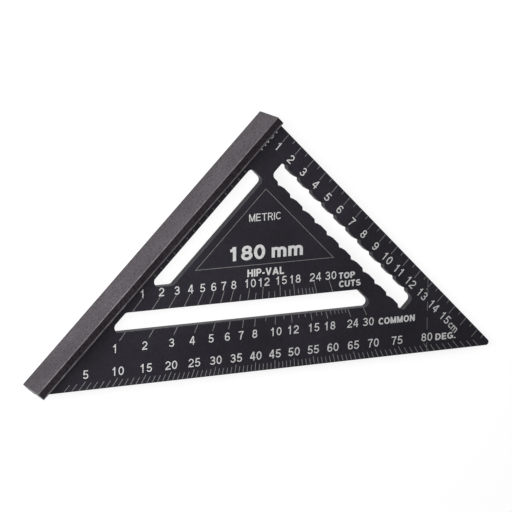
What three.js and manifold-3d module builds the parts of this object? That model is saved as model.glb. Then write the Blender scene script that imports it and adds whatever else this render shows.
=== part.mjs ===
// Speed square for roofing and siding work: a right-angled blade with a ruler edge and a
// 45 degree hypotenuse, its root let into a groove along a T-shaped fence.
// Millimetres, +Z up. The square lies flat: the marked face of the blade looks up.
// The layout is drawn from the pivot, where the fence's inner face meets the ruler edge:
// x runs out along the ruler edge, y runs back (negative) along the fence, and z = 0 is
// the lower edge of the fence. placed() then moves the origin to the middle of the
// square's footprint.
import * as THREE from 'three';
import { mergeVertices } from 'three/addons/utils/BufferGeometryUtils.js';
import Module from 'manifold-3d';

const wasm = await Module();
wasm.setup();

// ---- driving dimensions ----
const leg = 183.4; // pivot to the sharp corner, along the ruler edge and down the fence
const bladeThickness = 4;
const tipRadius = 1.7; // rounds the ruler edge's far corner
const fence = { thickness: 5.1, height: 21.4, length: 184 };
const arrisRadius = { outer: 0.5, inner: 1 }; // of the fence's back and of its two guide faces
const slotWidth = 9.7; // of the two plain slots
const slotRadius = 2.5; // corner radius of the slots
const fenceMargin = 6.35; // from the fence's inner face to the two plain slots
const fenceSlot = { top: 26.3, diagonal: 113.2 }; // its foot is the line x - y = diagonal
const cutsSlot = { top: 31.1, diagonal: 130 }; // its inner side is the line x - y = diagonal
const scribeSlot = {
  left: 17.8, right: 127.3, top: 13.45, bottom: 21.45, firstNotch: 20, lastNotch: 125,
};
// A pencil notch: a shallow ramp runs down into a vee, whose far side is the steep stop.
const notch = {
  pitch: 10,
  ramp: { start: 2.9, end: 0.7, depth: 0.5 }, // distances before the notch's own mark
  root: { offset: 0.75, depth: 1.35 }, // distance past the mark
  stop: 2.35, // where the steep side is back at the slot's edge, past the mark
  easing: 1.2, // radius where the notch leaves and rejoins the slot's edge
  rampEasing: 0.8,
  rootRadius: 0.3,
  endRadius: 0.3, // of the slot's corner beside its first and last notch
};
const edgeBreak = 0.25; // chamfer along every outline of the blade
const joint = { gap: 0.3, depth: 2.2 }; // the blade's root in the fence's groove
const arcSteps = 3; // an arc is drawn with twice this many straight steps

// ---- sizes that follow ----
const bladeTop = (fence.height + bladeThickness) / 2;
const bladeBottom = bladeTop - bladeThickness;
const reach = leg - tipRadius * Math.SQRT2; // the rounded tip's farthest point
const centre = { x: (reach - fence.thickness) / 2, y: -fence.length / 2 };

// ---- helpers ----

// Adds a closed outline to path. Each corner is [x, y, radius], listed in order, and is
// rounded by an arc of its radius between the two straight sides that meet there.
function roundedOutline(path, corners) {
  corners.forEach(([x, y, radius], i) => {
    const corner = new THREE.Vector2(x, y);
    const [xBefore, yBefore] = corners[(i + corners.length - 1) % corners.length];
    const [xAfter, yAfter] = corners[(i + 1) % corners.length];
    const back = new THREE.Vector2(xBefore, yBefore).sub(corner).normalize();
    const ahead = new THREE.Vector2(xAfter, yAfter).sub(corner).normalize();
    const halfAngle = Math.acos(back.dot(ahead)) / 2;
    const tangent = radius / Math.tan(halfAngle);
    const middle = back.clone().add(ahead).normalize();
    const hub = middle.multiplyScalar(radius / Math.sin(halfAngle)).add(corner);
    const start = back.clone().multiplyScalar(tangent).add(corner).sub(hub);
    const end = ahead.clone().multiplyScalar(tangent).add(corner).sub(hub);
    const clockwise = back.cross(ahead) > 0;
    path.absarc(hub.x, hub.y, radius, start.angle(), end.angle(), clockwise);
  });
  path.closePath();
  return path;
}

// A three.js geometry as a manifold-3d solid, from its positions alone.
function toSolid(geometry) {
  const bare = geometry.clone();
  bare.deleteAttribute('normal');
  bare.deleteAttribute('uv');
  const merged = mergeVertices(bare);
  return new wasm.Manifold(new wasm.Mesh({
    numProp: 3,
    vertProperties: new Float32Array(merged.attributes.position.array),
    triVerts: new Uint32Array(merged.index.array),
  }));
}

// A manifold-3d solid as a flat-shaded three.js geometry.
function toGeometry(solid) {
  const mesh = solid.getMesh();
  const geometry = new THREE.BufferGeometry();
  geometry.setAttribute('position', new THREE.BufferAttribute(mesh.vertProperties, 3));
  geometry.setIndex(new THREE.BufferAttribute(mesh.triVerts, 1));
  const faceted = geometry.toNonIndexed();
  faceted.computeVertexNormals();
  return faceted;
}

// A box between two corners.
function boxBetween(low, high) {
  const size = high.map((value, axis) => value - low[axis]);
  const box = new THREE.BoxGeometry(...size);
  return box.translate(...low.map((value, axis) => value + size[axis] / 2));
}

// ---- outlines, seen from above ----

// The triangle of the blade, with the strip of its root that goes into the fence.
function bladeOutline() {
  const root = -joint.depth;
  const corner = 0.4; // the three root corners are only eased
  return roundedOutline(new THREE.Shape(), [
    [root, 0, corner],
    [root, -leg, corner],
    [0, -leg, corner],
    [leg, 0, tipRadius],
  ]);
}

// The plain slot beside the fence; its foot is cut parallel to the hypotenuse.
function fenceSlotOutline() {
  const left = fenceMargin;
  const right = left + slotWidth;
  return roundedOutline(new THREE.Path(), [
    [left, -fenceSlot.top, slotRadius],
    [right, -fenceSlot.top, slotRadius],
    [right, right - fenceSlot.diagonal, slotRadius],
    [left, left - fenceSlot.diagonal, slotRadius],
  ]);
}

// The slot beside the hypotenuse; its ends are parallel to the fence and the ruler edge.
function cutsSlotOutline() {
  const left = fenceMargin;
  const inner = cutsSlot.diagonal;
  const outer = inner + slotWidth * Math.SQRT2;
  return roundedOutline(new THREE.Path(), [
    [left, left - inner, slotRadius],
    [inner - cutsSlot.top, -cutsSlot.top, slotRadius],
    [outer - cutsSlot.top, -cutsSlot.top, slotRadius],
    [left, left - outer, slotRadius],
  ]);
}

// The corners of the pencil notch whose mark is x, cut into the edge at y. side is 1 where
// it points to the ruler edge, on an edge drawn left to right, and -1 where it points away
// from it, on an edge drawn right to left.
function notchCorners(x, y, side) {
  const { ramp, root, stop, easing, rampEasing, rootRadius } = notch;
  return [
    [x - side * ramp.start, y, easing],
    [x - side * ramp.end, y + side * ramp.depth, rampEasing],
    [x + side * root.offset, y + side * root.depth, rootRadius],
    [x + side * stop, y, easing],
  ];
}

// The row of notches along one edge. The slot's end wall takes the place of the first
// one's ramp start.
function notchRow(first, count, y, side) {
  const marks = Array.from({ length: count }, (_, i) => first + side * i * notch.pitch);
  return marks.flatMap((x) => notchCorners(x, y, side)).slice(1);
}

// The scribing slot beside the ruler edge, with a notch at each whole centimetre in its
// upper edge and at each half in its lower edge.
function scribeSlotOutline() {
  const { left, right, top, bottom, firstNotch, lastNotch } = scribeSlot;
  const count = Math.round((lastNotch - firstNotch) / notch.pitch);
  return roundedOutline(new THREE.Path(), [
    [left, -top, notch.endRadius],
    ...notchRow(firstNotch, count, -top, 1),
    [right, -top, slotRadius],
    [right, -bottom, notch.endRadius],
    ...notchRow(lastNotch, count, -bottom, -1),
    [left, -bottom, slotRadius],
  ]);
}

// ---- sub-parts ----

// The blade: a flat plate with three slots.
function bladeGeometry() {
  const outline = bladeOutline();
  outline.holes.push(fenceSlotOutline(), cutsSlotOutline(), scribeSlotOutline());
  const plate = new THREE.ExtrudeGeometry(outline, {
    depth: bladeThickness - 2 * edgeBreak,
    curveSegments: arcSteps,
    bevelThickness: edgeBreak,
    bevelSize: edgeBreak,
    bevelOffset: -edgeBreak,
    bevelSegments: 1,
  }).translate(0, 0, bladeBottom + edgeBreak);
  return toGeometry(toSolid(plate));
}

// The fence: a bar with eased arrises, and a groove along it that parts its inner face
// into an upper and a lower guide face.
function fenceGeometry() {
  const { thickness, height, length } = fence;
  const section = roundedOutline(new THREE.Shape(), [
    [-thickness, 0, arrisRadius.outer],
    [0, 0, arrisRadius.inner],
    [0, height, arrisRadius.inner],
    [-thickness, height, arrisRadius.outer],
  ]);
  const bar = new THREE.ExtrudeGeometry(section, {
    depth: length,
    curveSegments: arcSteps,
    bevelEnabled: false,
  }).rotateX(Math.PI / 2);
  const overrun = 1; // the groove's cutter runs past the bar's face and ends
  const groove = boxBetween(
    [-joint.depth - joint.gap, -length - overrun, bladeBottom - joint.gap],
    [overrun, overrun, bladeTop + joint.gap],
  );
  return toGeometry(toSolid(bar).subtract(toSolid(groove)));
}

// A named mesh, moved so that the origin is under the middle of the square's box.
function placed(name, geometry, material) {
  const mesh = new THREE.Mesh(geometry, material);
  mesh.name = name;
  mesh.position.set(-centre.x, -centre.y, 0);
  return mesh;
}

const anodised = new THREE.MeshStandardMaterial({ color: 0x2b2a2f, roughness: 0.5, metalness: 0.6 });
const blasted = new THREE.MeshStandardMaterial({ color: 0x645f62, roughness: 0.6, metalness: 0.7 });

const speedSquare = new THREE.Group();
speedSquare.name = 'speed_square';
speedSquare.add(placed('blade', bladeGeometry(), anodised));
speedSquare.add(placed('fence', fenceGeometry(), blasted));

export default speedSquare;
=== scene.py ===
import math
import bpy
import numpy as np
from mathutils import Matrix, Vector
from mathutils.geometry import delaunay_2d_cdt


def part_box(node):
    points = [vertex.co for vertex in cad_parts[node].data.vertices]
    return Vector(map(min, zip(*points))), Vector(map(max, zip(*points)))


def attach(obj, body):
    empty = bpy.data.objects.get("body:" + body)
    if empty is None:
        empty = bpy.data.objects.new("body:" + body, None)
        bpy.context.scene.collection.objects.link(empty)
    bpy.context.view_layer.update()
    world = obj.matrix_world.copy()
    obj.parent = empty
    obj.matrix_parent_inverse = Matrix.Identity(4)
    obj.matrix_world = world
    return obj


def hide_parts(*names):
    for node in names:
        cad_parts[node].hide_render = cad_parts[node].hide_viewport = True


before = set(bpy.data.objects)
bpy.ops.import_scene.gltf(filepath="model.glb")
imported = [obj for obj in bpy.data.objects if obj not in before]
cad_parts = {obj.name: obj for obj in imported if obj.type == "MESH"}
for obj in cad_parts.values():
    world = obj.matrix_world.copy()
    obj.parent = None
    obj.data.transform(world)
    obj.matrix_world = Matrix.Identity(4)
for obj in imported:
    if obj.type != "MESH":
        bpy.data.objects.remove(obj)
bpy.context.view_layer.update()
scene = bpy.context.scene
print("speed square: frame loaded,", sorted(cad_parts))

# ---- where things are ----
# The tool's own layout is in millimetres from the pivot, where the fence's inner face meets
# the ruler edge: x runs out along the ruler edge and y runs back, negative, along the fence.

mm = 0.001
fenceLow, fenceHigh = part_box("fence")
bladeLow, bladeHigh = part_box("blade")
pivotX, pivotY = fenceHigh.x, fenceHigh.y
faceZ = bladeHigh.z  # the marked face
root2 = math.sqrt(2)


def toRow(points, height):
    # Layout points in millimetres and one height in metres, as points of the row frame.
    points = np.asarray(points, float)
    heights = np.broadcast_to(height, points.shape[:1])
    return np.column_stack((pivotX + points[:, 0] * mm, pivotY + points[:, 1] * mm, heights))


def slanted(along, out):
    # Layout point of the scales beside the hypotenuse: along is the distance in their
    # reading direction, out is the distance from the pivot, square to the hypotenuse.
    along, out = np.broadcast_arrays(np.asarray(along, float), np.asarray(out, float))
    return np.stack(((along + out) / root2, (along - out) / root2), axis=-1)


# ---- camera ----

cameraView = {
    "target": (40.80, -56.69),  # layout point that the lens looks at, on the marked face
    "distance": 1.3498,
    "heading": 17.97,  # degrees from +X towards +Y
    "down": 62.09,  # degrees below the horizon
    "roll": -114.67,
    "lens": 186.07,
    "sensor": 36,
    "nearest": 0.02,
    "farthest": 50,
}


def addCamera(view):
    heading, down, roll = (math.radians(view[key]) for key in ("heading", "down", "roll"))
    forward = Vector((
        math.cos(down) * math.cos(heading),
        math.cos(down) * math.sin(heading),
        -math.sin(down),
    ))
    level = forward.cross(Vector((0, 0, 1))).normalized()
    upright = level.cross(forward)
    up = upright * math.cos(roll) + level * math.sin(roll)
    right = forward.cross(up)
    target = Vector(toRow([view["target"]], faceZ)[0])
    lens = bpy.data.cameras.new("camera")
    lens.lens = view["lens"]
    lens.sensor_width = view["sensor"]
    lens.clip_start = view["nearest"]
    lens.clip_end = view["farthest"]
    holder = bpy.data.objects.new("camera", lens)
    turn = Matrix((right, up, -forward)).transposed().to_4x4()
    holder.matrix_world = Matrix.Translation(target - forward * view["distance"]) @ turn
    scene.collection.objects.link(holder)
    scene.camera = holder


addCamera(cameraView)
scene.view_settings.view_transform = "Standard"
print("camera placed")

# ---- materials ----


def anodisedAluminium(name, look):
    material = bpy.data.materials.new(name)
    material.use_nodes = True
    tree = material.node_tree
    tree.nodes.clear()
    nodes, links = tree.nodes, tree.links

    place = nodes.new("ShaderNodeTexCoord")
    place.label = "Place on the tool"
    place.location = (-1500, 100)

    toneGroup = nodes.new("NodeFrame")
    toneGroup.label = "Dye tone of the anodised skin, with painted light on the back"
    mottle = nodes.new("ShaderNodeTexNoise")
    mottle.label = "Uneven dye"
    mottle.location = (-1240, 420)
    tone = nodes.new("ShaderNodeValToRGB")
    tone.label = "Dye tones"
    tone.location = (-1020, 420)
    speckle = nodes.new("ShaderNodeTexNoise")
    speckle.label = "Blasted grain"
    speckle.location = (-1240, 160)
    speckleTone = nodes.new("ShaderNodeValToRGB")
    speckleTone.label = "Grain tones"
    speckleTone.location = (-1020, 160)
    dyed = nodes.new("ShaderNodeMix")
    dyed.label = "Grain over dye"
    dyed.location = (-780, 320)
    backShare = nodes.new("ShaderNodeAttribute")
    backShare.label = "Back of the fence"
    backShare.location = (-1240, 620)
    grainShare = nodes.new("ShaderNodeMapRange")
    grainShare.label = "Coarse grain on the back only"
    grainShare.location = (-1000, 560)
    # Painted light: the back of the fence, the side that faces the side lamp, is made paler than
    # the rest of the fence.
    paintedBackLight = nodes.new("ShaderNodeMix")
    paintedBackLight.label = "Painted light on the blasted back"
    paintedBackLight.location = (-580, 420)
    for node in (mottle, tone, speckle, speckleTone, dyed, backShare, grainShare, paintedBackLight):
        node.parent = toneGroup

    # Painted highlight and wear: the arrises take a lighter colour, partly as wear of the skin and
    # partly as a painted highlight along the edges.
    highlightAndWearGroup = nodes.new("NodeFrame")
    highlightAndWearGroup.label = "Painted highlight and wear along the arrises"
    arrisHighlightAndWearShare = nodes.new("ShaderNodeAttribute")
    arrisHighlightAndWearShare.label = "Arris"
    arrisHighlightAndWearShare.location = (-1240, -140)
    highlightAndWearBreaks = nodes.new("ShaderNodeTexNoise")
    highlightAndWearBreaks.label = "Where the arris is lighter"
    highlightAndWearBreaks.location = (-1240, -320)
    highlightAndWearSpread = nodes.new("ShaderNodeMapRange")
    highlightAndWearSpread.label = "How patchy the lighter arris is"
    highlightAndWearSpread.location = (-1020, -320)
    arrisHighlightAndWear = nodes.new("ShaderNodeMath")
    arrisHighlightAndWear.label = "Share of painted highlight and wear"
    arrisHighlightAndWear.location = (-780, -160)
    skin = nodes.new("ShaderNodeMix")
    skin.label = "Lighter arrises: painted highlight and wear"
    skin.location = (-440, 260)
    for node in (arrisHighlightAndWearShare, highlightAndWearBreaks, highlightAndWearSpread, arrisHighlightAndWear, skin):
        node.parent = highlightAndWearGroup

    scratchGroup = nodes.new("NodeFrame")
    scratchGroup.label = "Hairline handling marks"
    scratchTurn = nodes.new("ShaderNodeMapping")
    scratchTurn.label = "Drawn out along one direction"
    scratchTurn.location = (-1240, -580)
    scratches = nodes.new("ShaderNodeTexNoise")
    scratches.label = "Hairlines"
    scratches.location = (-1020, -580)
    scratchCut = nodes.new("ShaderNodeMapRange")
    scratchCut.label = "Only the deepest hairlines"
    scratchCut.location = (-780, -580)
    for node in (scratchTurn, scratches, scratchCut):
        node.parent = scratchGroup

    glossGroup = nodes.new("NodeFrame")
    glossGroup.label = "Satin sheen"
    sheen = nodes.new("ShaderNodeMapRange")
    sheen.label = "Sheen follows the grain"
    sheen.location = (-440, -80)
    sheenRubbed = nodes.new("ShaderNodeMath")
    sheenRubbed.label = "Hairlines catch the light"
    sheenRubbed.location = (-220, -80)
    for node in (sheen, sheenRubbed):
        node.parent = glossGroup

    reliefGroup = nodes.new("NodeFrame")
    reliefGroup.label = "Relief"
    reliefShare = nodes.new("ShaderNodeMapRange")
    reliefShare.label = "Deeper on the back"
    reliefShare.location = (-660, -380)
    grainRelief = nodes.new("ShaderNodeBump")
    grainRelief.label = "Blasted grain relief"
    grainRelief.location = (-440, -380)
    scratchRelief = nodes.new("ShaderNodeBump")
    scratchRelief.label = "Hairline relief"
    scratchRelief.location = (-220, -380)
    for node in (reliefShare, grainRelief, scratchRelief):
        node.parent = reliefGroup

    skinShader = nodes.new("ShaderNodeBsdfPrincipled")
    skinShader.label = "Anodised skin"
    skinShader.location = (40, 200)
    output = nodes.new("ShaderNodeOutputMaterial")
    output.label = "Surface"
    output.location = (340, 200)

    mottle.inputs["Scale"].default_value = look["dyeScale"]
    mottle.inputs["Detail"].default_value = 4
    mottle.inputs["Roughness"].default_value = 0.55
    tone.color_ramp.elements[0].position = 0.3
    tone.color_ramp.elements[1].position = 0.72
    tone.color_ramp.elements[0].color = (*look["dark"], 1)
    tone.color_ramp.elements[1].color = (*look["light"], 1)
    speckle.inputs["Scale"].default_value = look["grainScale"]
    speckle.inputs["Detail"].default_value = 3
    speckle.inputs["Roughness"].default_value = 0.6
    speckleTone.color_ramp.elements[0].position = 0.34
    speckleTone.color_ramp.elements[1].position = 0.68
    low, high = look["grainTone"]
    speckleTone.color_ramp.elements[0].color = (low, low, low, 1)
    speckleTone.color_ramp.elements[1].color = (high, high, high, 1)
    dyed.data_type = "RGBA"
    dyed.blend_type = "MULTIPLY"
    grainShare.inputs["To Min"].default_value = 0.4
    backShare.attribute_name = "back"
    paintedBackLight.data_type = "RGBA"
    paintedBackLight.blend_type = "MULTIPLY"
    gain = look["paintedBackLight"]
    paintedBackLight.inputs["B"].default_value = (gain, gain, gain, 1)
    arrisHighlightAndWearShare.attribute_name = "arris"
    highlightAndWearBreaks.inputs["Scale"].default_value = 260
    highlightAndWearBreaks.inputs["Detail"].default_value = 3
    highlightAndWearSpread.inputs["From Min"].default_value = 0.35
    highlightAndWearSpread.inputs["From Max"].default_value = 0.65
    highlightAndWearSpread.inputs["To Min"].default_value = 0.45
    highlightAndWearSpread.inputs["To Max"].default_value = 1
    arrisHighlightAndWear.operation = "MULTIPLY"
    skin.data_type = "RGBA"
    # The lighter arris colour is partly painted highlight, partly wear.
    skin.inputs["B"].default_value = (*look["arrisHighlightAndWear"], 1)
    scratchTurn.inputs["Rotation"].default_value = (0, 0, math.radians(38))
    scratchTurn.inputs["Scale"].default_value = (18, 900, 900)
    scratches.inputs["Scale"].default_value = 1
    scratches.inputs["Detail"].default_value = 2
    scratchCut.inputs["From Min"].default_value = 0.68
    scratchCut.inputs["From Max"].default_value = 0.8
    sheen.inputs["From Min"].default_value = 0.3
    sheen.inputs["From Max"].default_value = 0.7
    sheen.inputs["To Min"].default_value = look["roughness"][0]
    sheen.inputs["To Max"].default_value = look["roughness"][1]
    sheenRubbed.operation = "MULTIPLY_ADD"
    sheenRubbed.inputs[1].default_value = -0.06
    grainRelief.inputs["Distance"].default_value = look["grainDepth"]
    reliefShare.inputs["To Min"].default_value = look["relief"][0]
    reliefShare.inputs["To Max"].default_value = look["relief"][1]
    scratchRelief.inputs["Strength"].default_value = 0.12
    scratchRelief.inputs["Distance"].default_value = 0.00002
    scratchRelief.invert = True
    skinShader.inputs["IOR"].default_value = look["ior"]

    links.new(place.outputs["Object"], mottle.inputs["Vector"])
    links.new(place.outputs["Object"], speckle.inputs["Vector"])
    links.new(place.outputs["Object"], highlightAndWearBreaks.inputs["Vector"])
    links.new(place.outputs["Object"], scratchTurn.inputs["Vector"])
    links.new(mottle.outputs["Fac"], tone.inputs["Fac"])
    links.new(speckle.outputs["Fac"], speckleTone.inputs["Fac"])
    links.new(tone.outputs["Color"], dyed.inputs["A"])
    links.new(speckleTone.outputs["Color"], dyed.inputs["B"])
    links.new(highlightAndWearBreaks.outputs["Fac"], highlightAndWearSpread.inputs["Value"])
    links.new(arrisHighlightAndWearShare.outputs["Fac"], arrisHighlightAndWear.inputs[0])
    links.new(highlightAndWearSpread.outputs["Result"], arrisHighlightAndWear.inputs[1])
    links.new(arrisHighlightAndWear.outputs["Value"], skin.inputs["Factor"])
    links.new(backShare.outputs["Fac"], grainShare.inputs["Value"])
    links.new(grainShare.outputs["Result"], dyed.inputs["Factor"])
    links.new(backShare.outputs["Fac"], paintedBackLight.inputs["Factor"])
    links.new(dyed.outputs["Result"], paintedBackLight.inputs["A"])
    links.new(paintedBackLight.outputs["Result"], skin.inputs["A"])
    links.new(scratchTurn.outputs["Vector"], scratches.inputs["Vector"])
    links.new(scratches.outputs["Fac"], scratchCut.inputs["Value"])
    links.new(speckle.outputs["Fac"], sheen.inputs["Value"])
    links.new(scratchCut.outputs["Result"], sheenRubbed.inputs[0])
    links.new(sheen.outputs["Result"], sheenRubbed.inputs[2])
    links.new(backShare.outputs["Fac"], reliefShare.inputs["Value"])
    links.new(reliefShare.outputs["Result"], grainRelief.inputs["Strength"])
    links.new(speckle.outputs["Fac"], grainRelief.inputs["Height"])
    links.new(scratchCut.outputs["Result"], scratchRelief.inputs["Height"])
    links.new(grainRelief.outputs["Normal"], scratchRelief.inputs["Normal"])
    links.new(skin.outputs["Result"], skinShader.inputs["Base Color"])
    links.new(sheenRubbed.outputs["Value"], skinShader.inputs["Roughness"])
    links.new(scratchRelief.outputs["Normal"], skinShader.inputs["Normal"])
    links.new(skinShader.outputs["BSDF"], output.inputs["Surface"])
    return material


def laserMark(name, look):
    material = bpy.data.materials.new(name)
    material.use_nodes = True
    tree = material.node_tree
    tree.nodes.clear()
    nodes, links = tree.nodes, tree.links

    place = nodes.new("ShaderNodeTexCoord")
    place.label = "Place on the tool"
    place.location = (-900, 0)

    burnGroup = nodes.new("NodeFrame")
    burnGroup.label = "Uneven burn of the laser"
    burn = nodes.new("ShaderNodeTexNoise")
    burn.label = "Burn strength"
    burn.location = (-680, 160)
    burnTone = nodes.new("ShaderNodeValToRGB")
    burnTone.label = "Mark tones"
    burnTone.location = (-460, 160)
    for node in (burn, burnTone):
        node.parent = burnGroup

    frostGroup = nodes.new("NodeFrame")
    frostGroup.label = "Frosted surface"
    frost = nodes.new("ShaderNodeTexNoise")
    frost.label = "Frosting"
    frost.location = (-680, -180)
    frostSheen = nodes.new("ShaderNodeMapRange")
    frostSheen.label = "Matte and slightly less matte"
    frostSheen.location = (-460, -100)
    frostRelief = nodes.new("ShaderNodeBump")
    frostRelief.label = "Frosting relief"
    frostRelief.location = (-460, -360)
    for node in (frost, frostSheen, frostRelief):
        node.parent = frostGroup

    markShader = nodes.new("ShaderNodeBsdfPrincipled")
    markShader.label = "Laser mark"
    markShader.location = (-140, 100)
    output = nodes.new("ShaderNodeOutputMaterial")
    output.label = "Surface"
    output.location = (160, 100)

    burn.inputs["Scale"].default_value = 700
    burn.inputs["Detail"].default_value = 3
    burnTone.color_ramp.elements[0].position = 0.3
    burnTone.color_ramp.elements[1].position = 0.62
    burnTone.color_ramp.elements[0].color = (*look["faint"], 1)
    burnTone.color_ramp.elements[1].color = (*look["full"], 1)
    frost.inputs["Scale"].default_value = 3500
    frost.inputs["Detail"].default_value = 2
    frostSheen.inputs["To Min"].default_value = 0.62
    frostSheen.inputs["To Max"].default_value = 0.85
    frostRelief.inputs["Strength"].default_value = 0.2
    frostRelief.inputs["Distance"].default_value = 0.00002
    markShader.inputs["IOR"].default_value = 1.45

    links.new(place.outputs["Object"], burn.inputs["Vector"])
    links.new(place.outputs["Object"], frost.inputs["Vector"])
    links.new(burn.outputs["Fac"], burnTone.inputs["Fac"])
    links.new(frost.outputs["Fac"], frostSheen.inputs["Value"])
    links.new(frost.outputs["Fac"], frostRelief.inputs["Height"])
    links.new(burnTone.outputs["Color"], markShader.inputs["Base Color"])
    links.new(frostSheen.outputs["Result"], markShader.inputs["Roughness"])
    links.new(frostRelief.outputs["Normal"], markShader.inputs["Normal"])
    links.new(markShader.outputs["BSDF"], output.inputs["Surface"])
    return material


# The arris colour in each look is partly painted highlight along the edges and partly wear.
bladeSkin = anodisedAluminium("black_anodised_blade", {
    "dark": (0.0175, 0.0156, 0.0218), "light": (0.0275, 0.0250, 0.0340), "dyeScale": 34,
    "grainScale": 1300, "grainTone": (0.55, 1.45), "arrisHighlightAndWear": (0.085, 0.082, 0.092),
    "roughness": (0.42, 0.58), "relief": (0.7, 0.7), "grainDepth": 0.00004, "ior": 1.36, "paintedBackLight": 1,
})
# The fence's back gain is painted light on the side that faces the side lamp.
fenceSkin = anodisedAluminium("blasted_anodised_fence", {
    "dark": (0.0140, 0.0114, 0.0140), "light": (0.0245, 0.0202, 0.0240), "dyeScale": 42,
    "grainScale": 900, "grainTone": (0.20, 2.05), "arrisHighlightAndWear": (0.205, 0.192, 0.200), "paintedBackLight": 2.55,
    "roughness": (0.24, 0.58), "relief": (0.1, 1.0), "grainDepth": 0.00030, "ior": 1.23,
})
figureMark = laserMark("laser_figures", {"faint": (0.58, 0.58, 0.58), "full": (0.70, 0.70, 0.70)})
lineMark = laserMark("laser_lines", {"faint": (0.19, 0.19, 0.19), "full": (0.27, 0.27, 0.27)})
print("materials made")

# ---- meshes ----


def addPiece(name, points, faces, material, normals=None, arris=None):
    mesh = bpy.data.meshes.new(name)
    mesh.from_pydata(points, [], faces)
    mesh.update()
    if arris is not None:
        attribute = mesh.attributes.new("arris", "FLOAT", "POINT")
        attribute.data.foreach_set("value", np.asarray(arris, np.float32))
    if normals is not None:
        mesh.polygons.foreach_set("use_smooth", np.ones(len(mesh.polygons), bool))
        mesh.normals_split_custom_set_from_vertices(normals)
    mesh.materials.append(material)
    piece = bpy.data.objects.new(name, mesh)
    scene.collection.objects.link(piece)
    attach(piece, "root")
    return piece


def roundedLoop(corners, stepDegrees=9):
    # A closed outline whose corners, (x, y, radius), are each rounded by an arc that
    # touches both straight sides. Gives the points and their normals, which point to the
    # right of the way the outline runs.
    points, normals = [], []
    count = len(corners)
    for index, (x, y, radius) in enumerate(corners):
        corner = np.array((x, y))
        before = np.array(corners[index - 1][:2]) - corner
        after = np.array(corners[(index + 1) % count][:2]) - corner
        before = before / np.linalg.norm(before)
        after = after / np.linalg.norm(after)
        half = math.acos(np.clip(before @ after, -1, 1)) / 2
        middle = before + after
        middle = middle / np.linalg.norm(middle)
        hub = corner + middle * radius / math.sin(half)
        tangent = radius / math.tan(half)
        start = corner + before * tangent - hub
        end = corner + after * tangent - hub
        startAngle = math.atan2(start[1], start[0])
        turn = math.atan2(start[0] * end[1] - start[1] * end[0], start @ end)
        steps = max(2, math.ceil(abs(math.degrees(turn)) / stepDegrees))
        angles = startAngle + turn * np.linspace(0, 1, steps + 1)
        radial = np.column_stack((np.cos(angles), np.sin(angles)))
        points.append(hub + radius * radial)
        normals.append(radial * np.sign(turn))
    return np.vstack(points), np.vstack(normals)


def insideLoop(points, loop):
    # Even number of crossings of a ray to the right means outside, odd means inside.
    x, y = points[:, :1], points[:, 1:]
    x0, y0 = loop[:, 0], loop[:, 1]
    x1, y1 = np.roll(x0, -1), np.roll(y0, -1)
    spans = (y0 > y) != (y1 > y)
    rise = np.where(y1 == y0, 1e-12, y1 - y0)
    crossing = x < (x1 - x0) * (y - y0) / rise + x0
    return (spans & crossing).sum(axis=1) % 2 == 1


def capTriangles(loops):
    # Triangles between the first loop and the holes inside it, as indices into the
    # stacked points of the loops, counter-clockwise.
    stacked = np.vstack(loops)
    starts = np.cumsum([0] + [len(loop) for loop in loops])
    edges = [
        (int(a), int(b))
        for start, loop in zip(starts, loops)
        for a, b in zip(range(start, start + len(loop)),
                        np.roll(range(start, start + len(loop)), -1))
    ]
    result = delaunay_2d_cdt([Vector(p) for p in stacked], edges, [], 1, 1e-7)
    triangles = np.array(result[2])
    original = np.array([source[0] for source in result[3]])
    triangles = original[triangles]
    centres = stacked[triangles].mean(axis=1)
    kept = insideLoop(centres, loops[0])
    for hole in loops[1:]:
        kept &= ~insideLoop(centres, hole)
    triangles = triangles[kept]
    a, b, c = (stacked[triangles[:, i]] for i in range(3))
    doubled = (b[:, 0] - a[:, 0]) * (c[:, 1] - a[:, 1]) - (b[:, 1] - a[:, 1]) * (c[:, 0] - a[:, 0])
    triangles[doubled < 0] = triangles[doubled < 0][:, ::-1]
    return triangles


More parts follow.
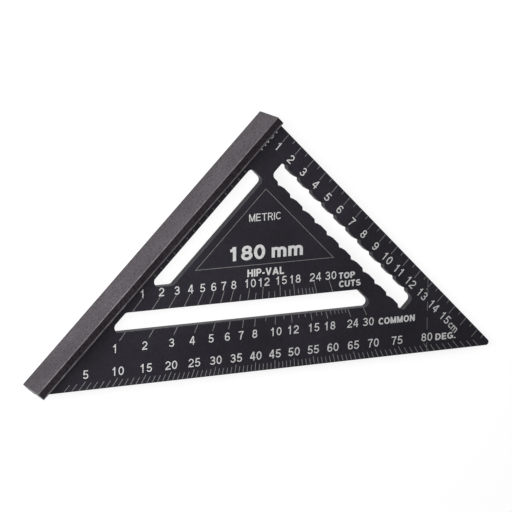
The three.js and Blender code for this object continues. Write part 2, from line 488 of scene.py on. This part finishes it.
def easedPlate(outlines, low, high, ease, steps):
    # A plate between two heights whose arrises are quarter rounds: at each level the whole
    # outline moves into the material by ease * (1 - cos angle) while the level stands
    # ease * (1 - sin angle) short of the face. Outer outline first, then the holes.
    loops, outward = [], []
    for index, corners in enumerate(outlines):
        points, normals = roundedLoop(corners)
        x, y = points.T
        area = np.sum(x * np.roll(y, -1) - y * np.roll(x, -1))
        if (area < 0) == (index == 0):  # material always lies to the left
            points, normals = points[::-1], -normals[::-1]
        loops.append(points)
        outward.append(normals)
    angles = np.linspace(0, math.pi / 2, steps + 1)
    inset = ease * (1 - np.cos(angles))
    short = ease * (1 - np.sin(angles))
    insets = np.concatenate((inset[::-1], inset))
    levels = np.concatenate((low + short[::-1], high - short))
    tilts = np.concatenate((-angles[::-1], angles))
    allPoints, allNormals, arris, faces = [], [], [], []
    base = 0
    rims = {0: [], len(levels) - 1: []}
    for points, normals in zip(loops, outward):
        count = len(points)
        grid = points[None] - normals[None] * insets[:, None, None]
        height = np.broadcast_to(levels[:, None, None], (len(levels), count, 1))
        allPoints.append(np.concatenate((grid, height), axis=2).reshape(-1, 3))
        side = normals[None] * np.cos(tilts)[:, None, None]
        lift = np.broadcast_to(np.sin(tilts)[:, None, None], (len(levels), count, 1))
        allNormals.append(np.concatenate((side, lift), axis=2).reshape(-1, 3))
        share = np.sin(2 * np.abs(tilts)) ** 0.5
        arris.append(np.repeat(share, count))
        column = np.arange(count)
        following = np.roll(column, -1)
        for level in range(len(levels) - 1):
            here, above = base + level * count, base + (level + 1) * count
            faces.append(np.column_stack(
                (here + column, here + following, above + following, above + column)))
        for level in rims:
            rims[level].append((base + level * count + column, grid[level]))
        base += len(levels) * count
    quads = np.vstack(faces).tolist()
    for level, parts in rims.items():
        numbers = np.concatenate([part[0] for part in parts])
        triangles = numbers[capTriangles([part[1] for part in parts])]
        quads += (triangles if level else triangles[:, ::-1]).tolist()
    return np.vstack(allPoints), np.vstack(allNormals), np.concatenate(arris), quads


# ---- blade ----

blade = {
    "leg": 183.4, "tipRadius": 1.7, "rootDepth": 2.2, "slotWidth": 9.7, "slotRadius": 2.5,
    "margin": 6.35, "fenceSlotTop": 26.3, "fenceSlotLine": 113.2,
    "cutsSlotTop": 31.1, "cutsSlotLine": 130,
    "scribe": {"left": 17.8, "right": 127.3, "top": 13.45, "bottom": 21.45},
    "notchMarks": (20, 125), "notches": 11, "pitch": 10,
    "rampStart": 2.9, "rampEnd": 0.7, "rampDepth": 0.5,
    "rootOffset": 0.75, "notchDepth": 1.35, "stop": 2.35,
    "easing": 1.2, "rampEasing": 0.8, "notchRootRadius": 0.3, "endRadius": 0.3,
    "rootCorner": 0.4, "ease": 0.28, "easeSteps": 5,
}


def notchRow(values, first, y, side):
    # Side is 1 where the notches point to the ruler edge and -1 where they point away.
    corners = []
    for index in range(values["notches"]):
        x = first + side * index * values["pitch"]
        corners += [
            (x - side * values["rampStart"], y, values["easing"]),
            (x - side * values["rampEnd"], y + side * values["rampDepth"], values["rampEasing"]),
            (x + side * values["rootOffset"], y + side * values["notchDepth"],
             values["notchRootRadius"]),
            (x + side * values["stop"], y, values["easing"]),
        ]
    return corners[1:]


def bladeOutlines(values):
    leg, root, radius = values["leg"], -values["rootDepth"], values["slotRadius"]
    left = values["margin"]
    right = left + values["slotWidth"]
    foot = values["fenceSlotLine"]
    inner = values["cutsSlotLine"]
    outer = inner + values["slotWidth"] * root2
    top = values["cutsSlotTop"]
    scribe = values["scribe"]
    end = values["endRadius"]
    corner = values["rootCorner"]
    outline = [
        (root, 0, corner), (root, -leg, corner), (0, -leg, corner), (leg, 0, values["tipRadius"]),
    ]
    fenceSlot = [
        (left, -values["fenceSlotTop"], radius), (right, -values["fenceSlotTop"], radius),
        (right, right - foot, radius), (left, left - foot, radius),
    ]
    cutsSlot = [
        (left, left - inner, radius), (inner - top, -top, radius),
        (outer - top, -top, radius), (left, left - outer, radius),
    ]
    scribeSlot = [
        (scribe["left"], -scribe["top"], end),
        *notchRow(values, values["notchMarks"][0], -scribe["top"], 1),
        (scribe["right"], -scribe["top"], radius),
        (scribe["right"], -scribe["bottom"], end),
        *notchRow(values, values["notchMarks"][1], -scribe["bottom"], -1),
        (scribe["left"], -scribe["bottom"], radius),
    ]
    return [outline, fenceSlot, cutsSlot, scribeSlot]


points, normals, arris, faces = easedPlate(
    bladeOutlines(blade), bladeLow.z / mm, bladeHigh.z / mm, blade["ease"], blade["easeSteps"])
bladePiece = addPiece(
    "blade_plate", toRow(points[:, :2], points[:, 2] * mm), faces, bladeSkin,
    normals, arris)
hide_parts("blade")
print("blade made,", len(faces), "faces")

# ---- fence ----
# The bar is the same eased plate, stood up: its section is drawn across, (x, height), and
# its length runs along y, from the blade's foot to the ruler edge.

fenceBar = {
    "outerArris": 0.42, "innerArris": 1.4, "lip": 0.36,
    "groove": 2.22, "grooveCorner": 0.1, "fit": 0.02, "ease": 0.32, "easeSteps": 5,
}


def fenceOutline(values):
    left = (fenceLow.x - fenceHigh.x) / mm
    top = fenceHigh.z / mm
    low = bladeLow.z / mm - values["fit"]
    high = bladeHigh.z / mm + values["fit"]
    outer, inner, lip = values["outerArris"], values["innerArris"], values["lip"]
    deep, corner = -values["groove"], values["grooveCorner"]
    return [
        (left, 0, outer), (0, 0, inner), (0, low, lip), (deep, low, corner),
        (deep, high, corner), (0, high, lip), (0, top, inner), (left, top, outer),
    ]


points, normals, arris, faces = easedPlate(
    [fenceOutline(fenceBar)], 0, (fenceHigh.y - fenceLow.y) / mm, fenceBar["ease"],
    fenceBar["easeSteps"])
# Standing the plate up: across stays x, the section's height becomes z and the plate's own
# height becomes the distance back from the ruler edge. That is a plain turn, so it keeps
# the faces pointing outwards.
section = np.column_stack((points[:, 0], -points[:, 2]))
barNormals = np.column_stack((normals[:, 0], -normals[:, 2], normals[:, 1]))
# The arris share, which the material turns into painted highlight and wear, also covers the fence's
# rounded corners, found from their normals.
nearArris = np.clip(np.abs(barNormals[:, 0] * barNormals[:, 2]) * 2, 0, 1) ** 0.5
fencePiece = addPiece(
    "fence_bar", toRow(section, points[:, 1] * mm), faces, fenceSkin,
    barNormals, np.maximum(arris, nearArris))
# The back is the side that faces the side lamp: the material paints it paler there as painted
# light, and gives it a coarser grain.
facesBack = np.clip(-barNormals[:, 0], 0, 1) ** 4  # 1 on the back, falling fast round its arrises
back = fencePiece.data.attributes.new("back", "FLOAT", "POINT")
back.data.foreach_set("value", facesBack.astype(np.float32))
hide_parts("fence")
print("fence made,", len(faces), "faces")

# ---- marks ----
# Each mark is a thin inlay in the marked face: closed, with its upper side just proud.

inlay = {"above": 0.03, "below": 0.03}


def addInlay(name, patches, material):
    # Patches are (points, counter-clockwise triangles). The top takes the triangles as
    # they are, the underside takes them turned over, and a wall stands on each edge that
    # only one triangle has.
    offsets = np.cumsum([0] + [len(p) for p, _ in patches])
    flat = np.vstack([p for p, _ in patches])
    triangles = np.vstack([t + o for (_, t), o in zip(patches, offsets)])
    edges = np.vstack((triangles[:, [0, 1]], triangles[:, [1, 2]], triangles[:, [2, 0]]))
    count = len(flat)
    forward = edges[:, 0] * count + edges[:, 1]
    backward = edges[:, 1] * count + edges[:, 0]
    rim = edges[~np.isin(forward, backward)]
    walls = np.column_stack((rim[:, 0] + count, rim[:, 1] + count, rim[:, 1], rim[:, 0]))
    points = np.vstack((
        toRow(flat, faceZ + inlay["above"] * mm), toRow(flat, faceZ - inlay["below"] * mm)))
    faces = triangles.tolist() + (triangles[:, ::-1] + count).tolist() + walls.tolist()
    return addPiece(name, points, faces, material)


def bars(starts, ends, width):
    # A straight line of a given width from each start to each end.
    starts, ends = np.asarray(starts, float), np.asarray(ends, float)
    along = ends - starts
    along = along / np.linalg.norm(along, axis=1)[:, None]
    side = np.column_stack((-along[:, 1], along[:, 0])) * width / 2
    corners = np.stack((starts - side, ends - side, ends + side, starts + side), axis=1)
    base = np.arange(len(starts))[:, None] * 4
    triangles = np.vstack((base + (0, 1, 2), base + (0, 2, 3)))
    return corners.reshape(-1, 2), triangles


# ---- figures and letters ----
# Plain single-weight characters, drawn as centre lines in a cell one unit high. An arc is
# (centre x, centre y, radius x, radius y, start, end) in degrees; a line is a list of points.

lettering = {
    "weight": 0.126, "space": 0.115, "arcStep": 12,
    "wordSpace": 0.3, "figureWidth": 0.67,  # all figures share one width
}

characters = {
    "0": [(0.335, 0.5, 0.25, 0.415, 90, 450)],
    "1": [[(0.36, 0.0), (0.36, 1.0)], [(0.10, 0.735), (0.22, 0.755), (0.31, 0.83), (0.34, 0.96)]],
    "2": [[(0.335, 0.67, 0.25, 0.245, 172, -38), (0.13, 0.2), (0.09, 0.05)],
          [(0.01, 0.085), (0.64, 0.085)]],
    "3": [(0.325, 0.7, 0.225, 0.215, 165, -88), (0.33, 0.3, 0.255, 0.215, 92, -165),
          [(0.24, 0.505), (0.36, 0.505)]],
    "4": [[(0.48, 0.0), (0.48, 1.0)], [(0.44, 0.97), (0.07, 0.32)], [(0.02, 0.29), (0.66, 0.29)]],
    "5": [[(0.13, 0.915), (0.61, 0.915)], [(0.185, 0.93), (0.115, 0.46)],
          (0.325, 0.325, 0.26, 0.24, 143, -160)],
    "6": [(0.34, 0.315, 0.245, 0.23, 90, 450),
          [(0.095, 0.33), (0.36, 0.56, 0.265, 0.355, 180, 38)]],
    "7": [[(0.03, 0.915), (0.65, 0.915)], [(0.595, 0.9), (0.38, 0.52), (0.26, 0.0)]],
    "8": [(0.335, 0.715, 0.205, 0.2, 90, 450), (0.335, 0.3, 0.25, 0.215, 90, 450)],
    "9": [(0.33, 0.685, 0.245, 0.23, 90, 450),
          [(0.575, 0.67), (0.31, 0.44, 0.265, 0.355, 0, -142)]],
    "A": [[(0.04, 0.0), (0.36, 0.97)], [(0.36, 0.97), (0.68, 0.0)], [(0.15, 0.29), (0.57, 0.29)]],
    "C": [(0.39, 0.5, 0.3, 0.415, 42, 318)],
    "D": [[(0.09, 0.0), (0.09, 1.0)],
          [(0.06, 0.915), (0.3, 0.5, 0.33, 0.415, 90, -90), (0.06, 0.085)]],
    "E": [[(0.09, 0.0), (0.09, 1.0)], [(0.05, 0.915), (0.6, 0.915)], [(0.05, 0.51), (0.55, 0.51)],
          [(0.05, 0.085), (0.62, 0.085)]],
    "G": [(0.4, 0.5, 0.31, 0.415, 45, 342), [(0.42, 0.45), (0.72, 0.45)],
          [(0.69, 0.45), (0.69, 0.08)]],
    "H": [[(0.09, 0.0), (0.09, 1.0)], [(0.61, 0.0), (0.61, 1.0)], [(0.05, 0.52), (0.65, 0.52)]],
    "I": [[(0.09, 0.0), (0.09, 1.0)]],
    "L": [[(0.09, 0.0), (0.09, 1.0)], [(0.05, 0.085), (0.56, 0.085)]],
    "M": [[(0.09, 0.0), (0.09, 1.0)], [(0.73, 0.0), (0.73, 1.0)], [(0.11, 0.96), (0.41, 0.04)],
          [(0.41, 0.04), (0.71, 0.96)]],
    "N": [[(0.09, 0.0), (0.09, 1.0)], [(0.61, 0.0), (0.61, 1.0)], [(0.1, 0.94), (0.6, 0.06)]],
    "O": [(0.39, 0.5, 0.305, 0.415, 90, 450)],
    "P": [[(0.09, 0.0), (0.09, 1.0)],
          [(0.06, 0.915), (0.33, 0.69, 0.23, 0.225, 90, -90), (0.06, 0.465)]],
    "R": [[(0.09, 0.0), (0.09, 1.0)],
          [(0.06, 0.915), (0.34, 0.695, 0.23, 0.22, 90, -90), (0.06, 0.475)],
          [(0.4, 0.47), (0.62, 0.0)]],
    "S": [[(0.35, 0.705, 0.235, 0.21, 35, 268)], [(0.34, 0.295, 0.255, 0.21, 88, -150)]],
    "T": [[(0.02, 0.915), (0.66, 0.915)], [(0.34, 0.0), (0.34, 0.95)]],
    "U": [[(0.09, 1.0), (0.35, 0.34, 0.26, 0.255, 180, 360), (0.61, 1.0)]],
    "V": [[(0.04, 1.0), (0.34, 0.03)], [(0.34, 0.03), (0.64, 1.0)]],
    "c": [(0.32, 0.36, 0.235, 0.275, 48, 312)],
    "m": [[(0.085, 0.0), (0.085, 0.72)], [(0.265, 0.46, 0.18, 0.175, 180, 0), (0.445, 0.0)],
          [(0.625, 0.46, 0.18, 0.175, 180, 0), (0.805, 0.0)]],
    "-": [[(0.03, 0.37), (0.35, 0.37)]],
    ".": [[(0.09, 0.0), (0.09, 0.17)]],
}


def arcPoints(arc, step):
    x, y, radiusX, radiusY, start, end = arc
    count = max(3, math.ceil(abs(end - start) / step))
    angles = np.radians(np.linspace(start, end, count + 1))
    return np.column_stack((x + radiusX * np.cos(angles), y + radiusY * np.sin(angles)))


def centreLine(stroke, step):
    if isinstance(stroke, tuple):
        return arcPoints(stroke, step)
    parts = [arcPoints(part, step) if len(part) == 6 else np.array([part]) for part in stroke]
    return np.vstack(parts).astype(float)


def strokeQuads(line, weight):
    # Both sides of the line stand half the weight off it, square to the mean direction at
    # each of its points.
    closed = np.allclose(line[0], line[-1])
    pieces = np.diff(line, axis=0)
    pieces = pieces / np.linalg.norm(pieces, axis=1)[:, None]
    ahead = np.vstack((pieces, pieces[:1] if closed else pieces[-1:]))
    behind = np.vstack((pieces[-1:] if closed else pieces[:1], pieces))
    mean = ahead + behind
    mean = mean / np.linalg.norm(mean, axis=1)[:, None]
    reach = weight / 2 / np.clip((mean * ahead).sum(axis=1), 0.5, 1)
    side = np.column_stack((-mean[:, 1], mean[:, 0])) * reach[:, None]
    left, right = line + side, line - side
    return np.stack((right[:-1], right[1:], left[1:], left[:-1]), axis=1)


def characterPatch(strokes, weight):
    # The strokes' quads are merged into one flat shape, so that nothing overlaps.
    quads = np.vstack([strokeQuads(centreLine(s, lettering["arcStep"]), weight) for s in strokes])
    corners = [Vector(p) for p in quads.reshape(-1, 2)]
    faces = np.arange(len(corners)).reshape(-1, 4).tolist()
    result = delaunay_2d_cdt(corners, [], faces, 1, 1e-5)
    triangles = np.array([f for f, source in zip(result[2], result[5]) if source])
    points = np.array([tuple(v) for v in result[0]])
    a, b, c = (points[triangles[:, i]] for i in range(3))
    doubled = (b[:, 0] - a[:, 0]) * (c[:, 1] - a[:, 1]) - (b[:, 1] - a[:, 1]) * (c[:, 0] - a[:, 0])
    triangles = triangles[np.abs(doubled) > 1e-9]
    turned = doubled[np.abs(doubled) > 1e-9] < 0
    triangles[turned] = triangles[turned][:, ::-1]
    used, compact = np.unique(triangles, return_inverse=True)
    return points[used], compact.reshape(-1, 3)


patchStore = {}


def textPatches(text, height, weight=None, width=None):
    # One patch for each character, side by side, with the text's middle at 0 and its
    # baseline at 0. A width in millimetres draws the whole text out to that width.
    weight = weight or lettering["weight"]
    placed, x = [], 0.0
    for letter in text:
        if letter == " ":
            x += lettering["wordSpace"]
            continue
        if (letter, weight) not in patchStore:
            patchStore[letter, weight] = characterPatch(characters[letter], weight)
        points, triangles = patchStore[letter, weight]
        low, high = points[:, 0].min(), points[:, 0].max()
        if letter.isdigit():
            low, high = 0.0, lettering["figureWidth"]
        placed.append((points + (x - low, 0), triangles))
        x += high - low + lettering["space"]
    x -= lettering["space"]
    across = width / x if width else height
    return [((points - (x / 2, 0)) * (across, height), triangles) for points, triangles in placed]


def onEdge(patches, x, y):
    # Reads along the ruler edge.
    return [(points + (x, y), triangles) for points, triangles in patches]


def onSlant(patches, along, out):
    # Reads along the hypotenuse, upright towards the pivot.
    return [(slanted(along + points[:, 0], out - points[:, 1]), triangles)
            for points, triangles in patches]


lineWidth = 0.3

# ---- centimetre scale on the ruler edge ----

ruler = {
    "start": 0.3, "longEnd": 5.5, "shortEnd": 2.3, "last": 170, "lastFigure": 15,
    "baseline": 10.8, "height": 4.6,
    "unit": {"text": "cm", "middle": 157.4, "height": 4.3, "weight": 0.12},
}
longX = np.arange(10, ruler["last"] + 1, 10)
shortX = np.arange(15, ruler["last"] + 6, 10)
tickX = np.concatenate((longX, shortX))
tickEnd = np.where(tickX % 10 == 0, ruler["longEnd"], ruler["shortEnd"])
addInlay("cm_ticks", [bars(
    np.column_stack((tickX, np.full(len(tickX), -ruler["start"]))),
    np.column_stack((tickX, -tickEnd)), lineWidth)], lineMark)
patches = []
for centimetre in range(1, ruler["lastFigure"] + 1):
    patches += onEdge(
        textPatches(str(centimetre), ruler["height"]), centimetre * 10, -ruler["baseline"])
addInlay("cm_figures", patches, figureMark)
unit = ruler["unit"]
addInlay("cm_unit", onEdge(
    textPatches(unit["text"], unit["height"], unit["weight"]),
    unit["middle"], -ruler["baseline"]), figureMark)

# ---- degree scale on the hypotenuse ----

degrees = {
    "edge": 129.38, "shortEnd": 126.0, "longEnd": 125.0, "first": 3, "last": 88,
    "figureMiddle": 125.0, "lastFigure": 80, "baseline": 123.8, "height": 4.6,
    "moved": {70: 57.2, 75: 71.3, 80: 89.2},
}
angles = np.arange(degrees["first"], degrees["last"] + 1)
slope = np.tan(np.radians(angles - 45))
innerEnd = np.where(angles % 5 == 0, degrees["longEnd"], degrees["shortEnd"])
addInlay("degree_ticks", [bars(
    slanted(degrees["edge"] * slope, degrees["edge"]), slanted(innerEnd * slope, innerEnd),
    lineWidth)], lineMark)
patches = []
for angle in range(5, degrees["lastFigure"] + 1, 5):
    middle = degrees["figureMiddle"] * math.tan(math.radians(angle - 45))
    patches += onSlant(
        textPatches(str(angle), degrees["height"]), degrees["moved"].get(angle, middle),
        degrees["baseline"])
addInlay("degree_figures", patches, figureMark)

# ---- rafter scales beside the lower slot ----
# A pitch p stands at along = out * (p - unit) / (p + unit), a line through the pivot.

rafters = {
    "common": {
        "unit": 10, "start": 101.92, "shortEnd": 103.7, "longEnd": 105.9,
        "baseline": 112.0, "height": 4.5,
        "middles": (-88.9, -72.8, -58.1, -46.7, -36.2, -27.1, -19.4, -11.6, 0.45, 10.3, 22.2,
                    31.5, 44.9, 54.1),
    },
    "hip_val": {
        "unit": 10 * root2, "start": 91.6, "shortEnd": 88.3, "longEnd": 85.5,
        "baseline": 85.2, "height": 4.5,
        "middles": (-73.9, -63.6, -55.1, -47.6, -41.0, -34.8, -29.3, -23.6, -14.4, -6.7, 3.2,
                    11.1, 22.8, 31.7),
    },
}
longPitches = (1, 2, 3, 4, 5, 6, 7, 8, 10, 12, 15, 18, 24, 30)
shortPitches = (9, 11, 13, 14, 16, 17, 19, 20, 21, 22, 23)
for name, scale in rafters.items():
    pitch = np.array(longPitches + shortPitches, float)
    share = (pitch - scale["unit"]) / (pitch + scale["unit"])
    tickEnd = np.where(np.isin(pitch, longPitches), scale["longEnd"], scale["shortEnd"])
    addInlay(name + "_ticks", [bars(
        slanted(scale["start"] * share, scale["start"]), slanted(tickEnd * share, tickEnd),
        lineWidth)], lineMark)
    patches = []
    for number, middle in zip(longPitches, scale["middles"]):
        patches += onSlant(textPatches(str(number), scale["height"]), middle, scale["baseline"])
    addInlay(name + "_figures", patches, figureMark)

# ---- names of the scales ----

legends = {  # text: where it starts and ends along, baseline out, height, weight
    "DEG.": (94.4, 106.6, 123.8, 3.5, 0.21),
    "COMMON": (60.1, 81.7, 112.0, 3.5, 0.21),
    "HIP-VAL": (-16.0, 4.7, 79.6, 3.9, 0.21),
    "TOP": (36.3, 45.8, 85.3, 3.3, 0.21),
    "CUTS": (36.5, 49.2, 89.7, 3.3, 0.21),
    "METRIC": (-15.2, 2.6, 50.9, 4.0, 0.11),
}
patches = []
for text, (first, last, out, height, weight) in legends.items():
    patches += onSlant(
        textPatches(text, height, weight, last - first), (first + last) / 2, out)
addInlay("scale_names", patches, figureMark)

# The pivot's name stands along the fence, its feet away from it.
pivotName = {
    "text": "PIVOT", "foot": 4.45, "middle": 9.5, "width": 13.2, "height": 3.3, "weight": 0.15,
}
addInlay("pivot_name", [
    (np.column_stack((pivotName["foot"] - points[:, 1], points[:, 0] - pivotName["middle"])),
     triangles)
    for points, triangles in textPatches(
        pivotName["text"], pivotName["height"], pivotName["weight"], pivotName["width"])
], figureMark)

# ---- size mark and panel outline ----

sizeMark = {"text": "180 mm", "along": -5.6, "out": 70.6, "height": 7.4, "weight": 0.2, "width": 42}
addInlay("size_mark", onSlant(
    textPatches(sizeMark["text"], sizeMark["height"], sizeMark["weight"], sizeMark["width"]),
    sizeMark["along"], sizeMark["out"]), figureMark)

panel = {"left": 20.1, "top": 28.45, "diagonal": 104.1, "width": 0.24}
corners = np.array((
    (panel["left"], -panel["top"]),
    (panel["left"], panel["left"] - panel["diagonal"]),
    (panel["diagonal"] - panel["top"], -panel["top"]),
))
inward = np.array((  # how far each corner moves for an inset of 1
    (1, -1), (1, 1 + root2), (-1 - root2, -1)))
ring = np.vstack((corners, corners + inward * panel["width"]))
ringTriangles = np.array([
    triangle for a, b in ((0, 1), (1, 2), (2, 0))
    for triangle in ((a, b, b + 3), (a, b + 3, a + 3))
])
addInlay("panel_outline", [(ring, ringTriangles)], lineMark)

# ---- guide line across the scales, broken where it meets a figure ----

guide = {
    "along": 89.2, "width": 0.24,
    "spans": ((89.9, 98.2), (102.2, 107.2), (111.0, 117.6), (124.6, 129.0)),
}
spanStarts, spanEnds = np.array(guide["spans"]).T
addInlay("guide_line", [bars(
    slanted(guide["along"], spanStarts), slanted(guide["along"], spanEnds),
    guide["width"])], lineMark)

# ---- short ticks beside the fence slot ----

sideTicks = {"from": 4.3, "to": 5.6, "first": 30, "last": 100, "pitch": 5, "width": 0.22}
tickY = -np.arange(sideTicks["first"], sideTicks["last"] + 1, sideTicks["pitch"], dtype=float)
addInlay("slot_side_ticks", [bars(
    np.column_stack((np.full(len(tickY), sideTicks["from"]), tickY)),
    np.column_stack((np.full(len(tickY), sideTicks["to"]), tickY)), sideTicks["width"])], lineMark)
print("marks made")

# ---- floor and light ----

studio = {
    "floorSize": 3.0, "floorGap": 0.00002, "floorTone": 0.26, "floorGlow": 0.86, "dome": 0.10,
    "side": {"place": (-0.27, -0.07, 0.24), "size": 0.26, "power": 1.32},
    "back": {"place": (0.1, 1.1, 0.5), "size": 0.8, "power": 5},
}


def addFloor(values):
    # The square lies on the fence's lower edge and the underside of the blade's tip, so the
    # floor slopes by the blade's height over its reach.
    rise = bladeLow.z / (bladeHigh.x - pivotX)
    half = values["floorSize"] / 2
    x = np.array((-half, half, half, -half))
    y = np.array((-half, -half, half, half))
    points = np.column_stack((x, y, (x - pivotX) * rise - values["floorGap"]))
    mesh = bpy.data.meshes.new("floor")
    mesh.from_pydata(points, [], [(0, 1, 2, 3)])
    material = bpy.data.materials.new("pale_floor")
    material.use_nodes = True
    tree = material.node_tree
    tree.nodes.clear()
    paper = tree.nodes.new("ShaderNodeBsdfPrincipled")
    paper.label = "Pale light table"
    paper.location = (0, 0)
    output = tree.nodes.new("ShaderNodeOutputMaterial")
    output.label = "Surface"
    output.location = (300, 0)
    tone = values["floorTone"]
    paper.inputs["Base Color"].default_value = (tone, tone, tone, 1)
    paper.inputs["Roughness"].default_value = 0.9
    paper.inputs["Specular IOR Level"].default_value = 0
    paper.inputs["Emission Color"].default_value = (1, 1, 1, 1)
    paper.inputs["Emission Strength"].default_value = values["floorGlow"]
    tree.links.new(paper.outputs["BSDF"], output.inputs["Surface"])
    mesh.materials.append(material)
    floor = bpy.data.objects.new("floor", mesh)
    scene.collection.objects.link(floor)


def addSoftbox(name, values):
    light = bpy.data.lights.new(name, "AREA")
    light.shape = "SQUARE"
    light.size = values["size"]
    light.energy = values["power"]
    holder = bpy.data.objects.new(name, light)
    holder.location = values["place"]
    holder.rotation_euler = (-Vector(values["place"])).to_track_quat("-Z", "Y").to_euler()
    scene.collection.objects.link(holder)


def addDome(strength):
    world = bpy.data.worlds.new("studio")
    world.use_nodes = True
    background = world.node_tree.nodes["Background"]
    background.inputs["Color"].default_value = (1, 1, 1, 1)
    background.inputs["Strength"].default_value = strength
    scene.world = world


addFloor(studio)
addSoftbox("side_softbox", studio["side"])
addSoftbox("back_softbox", studio["back"])
addDome(studio["dome"])
print("floor and light placed")
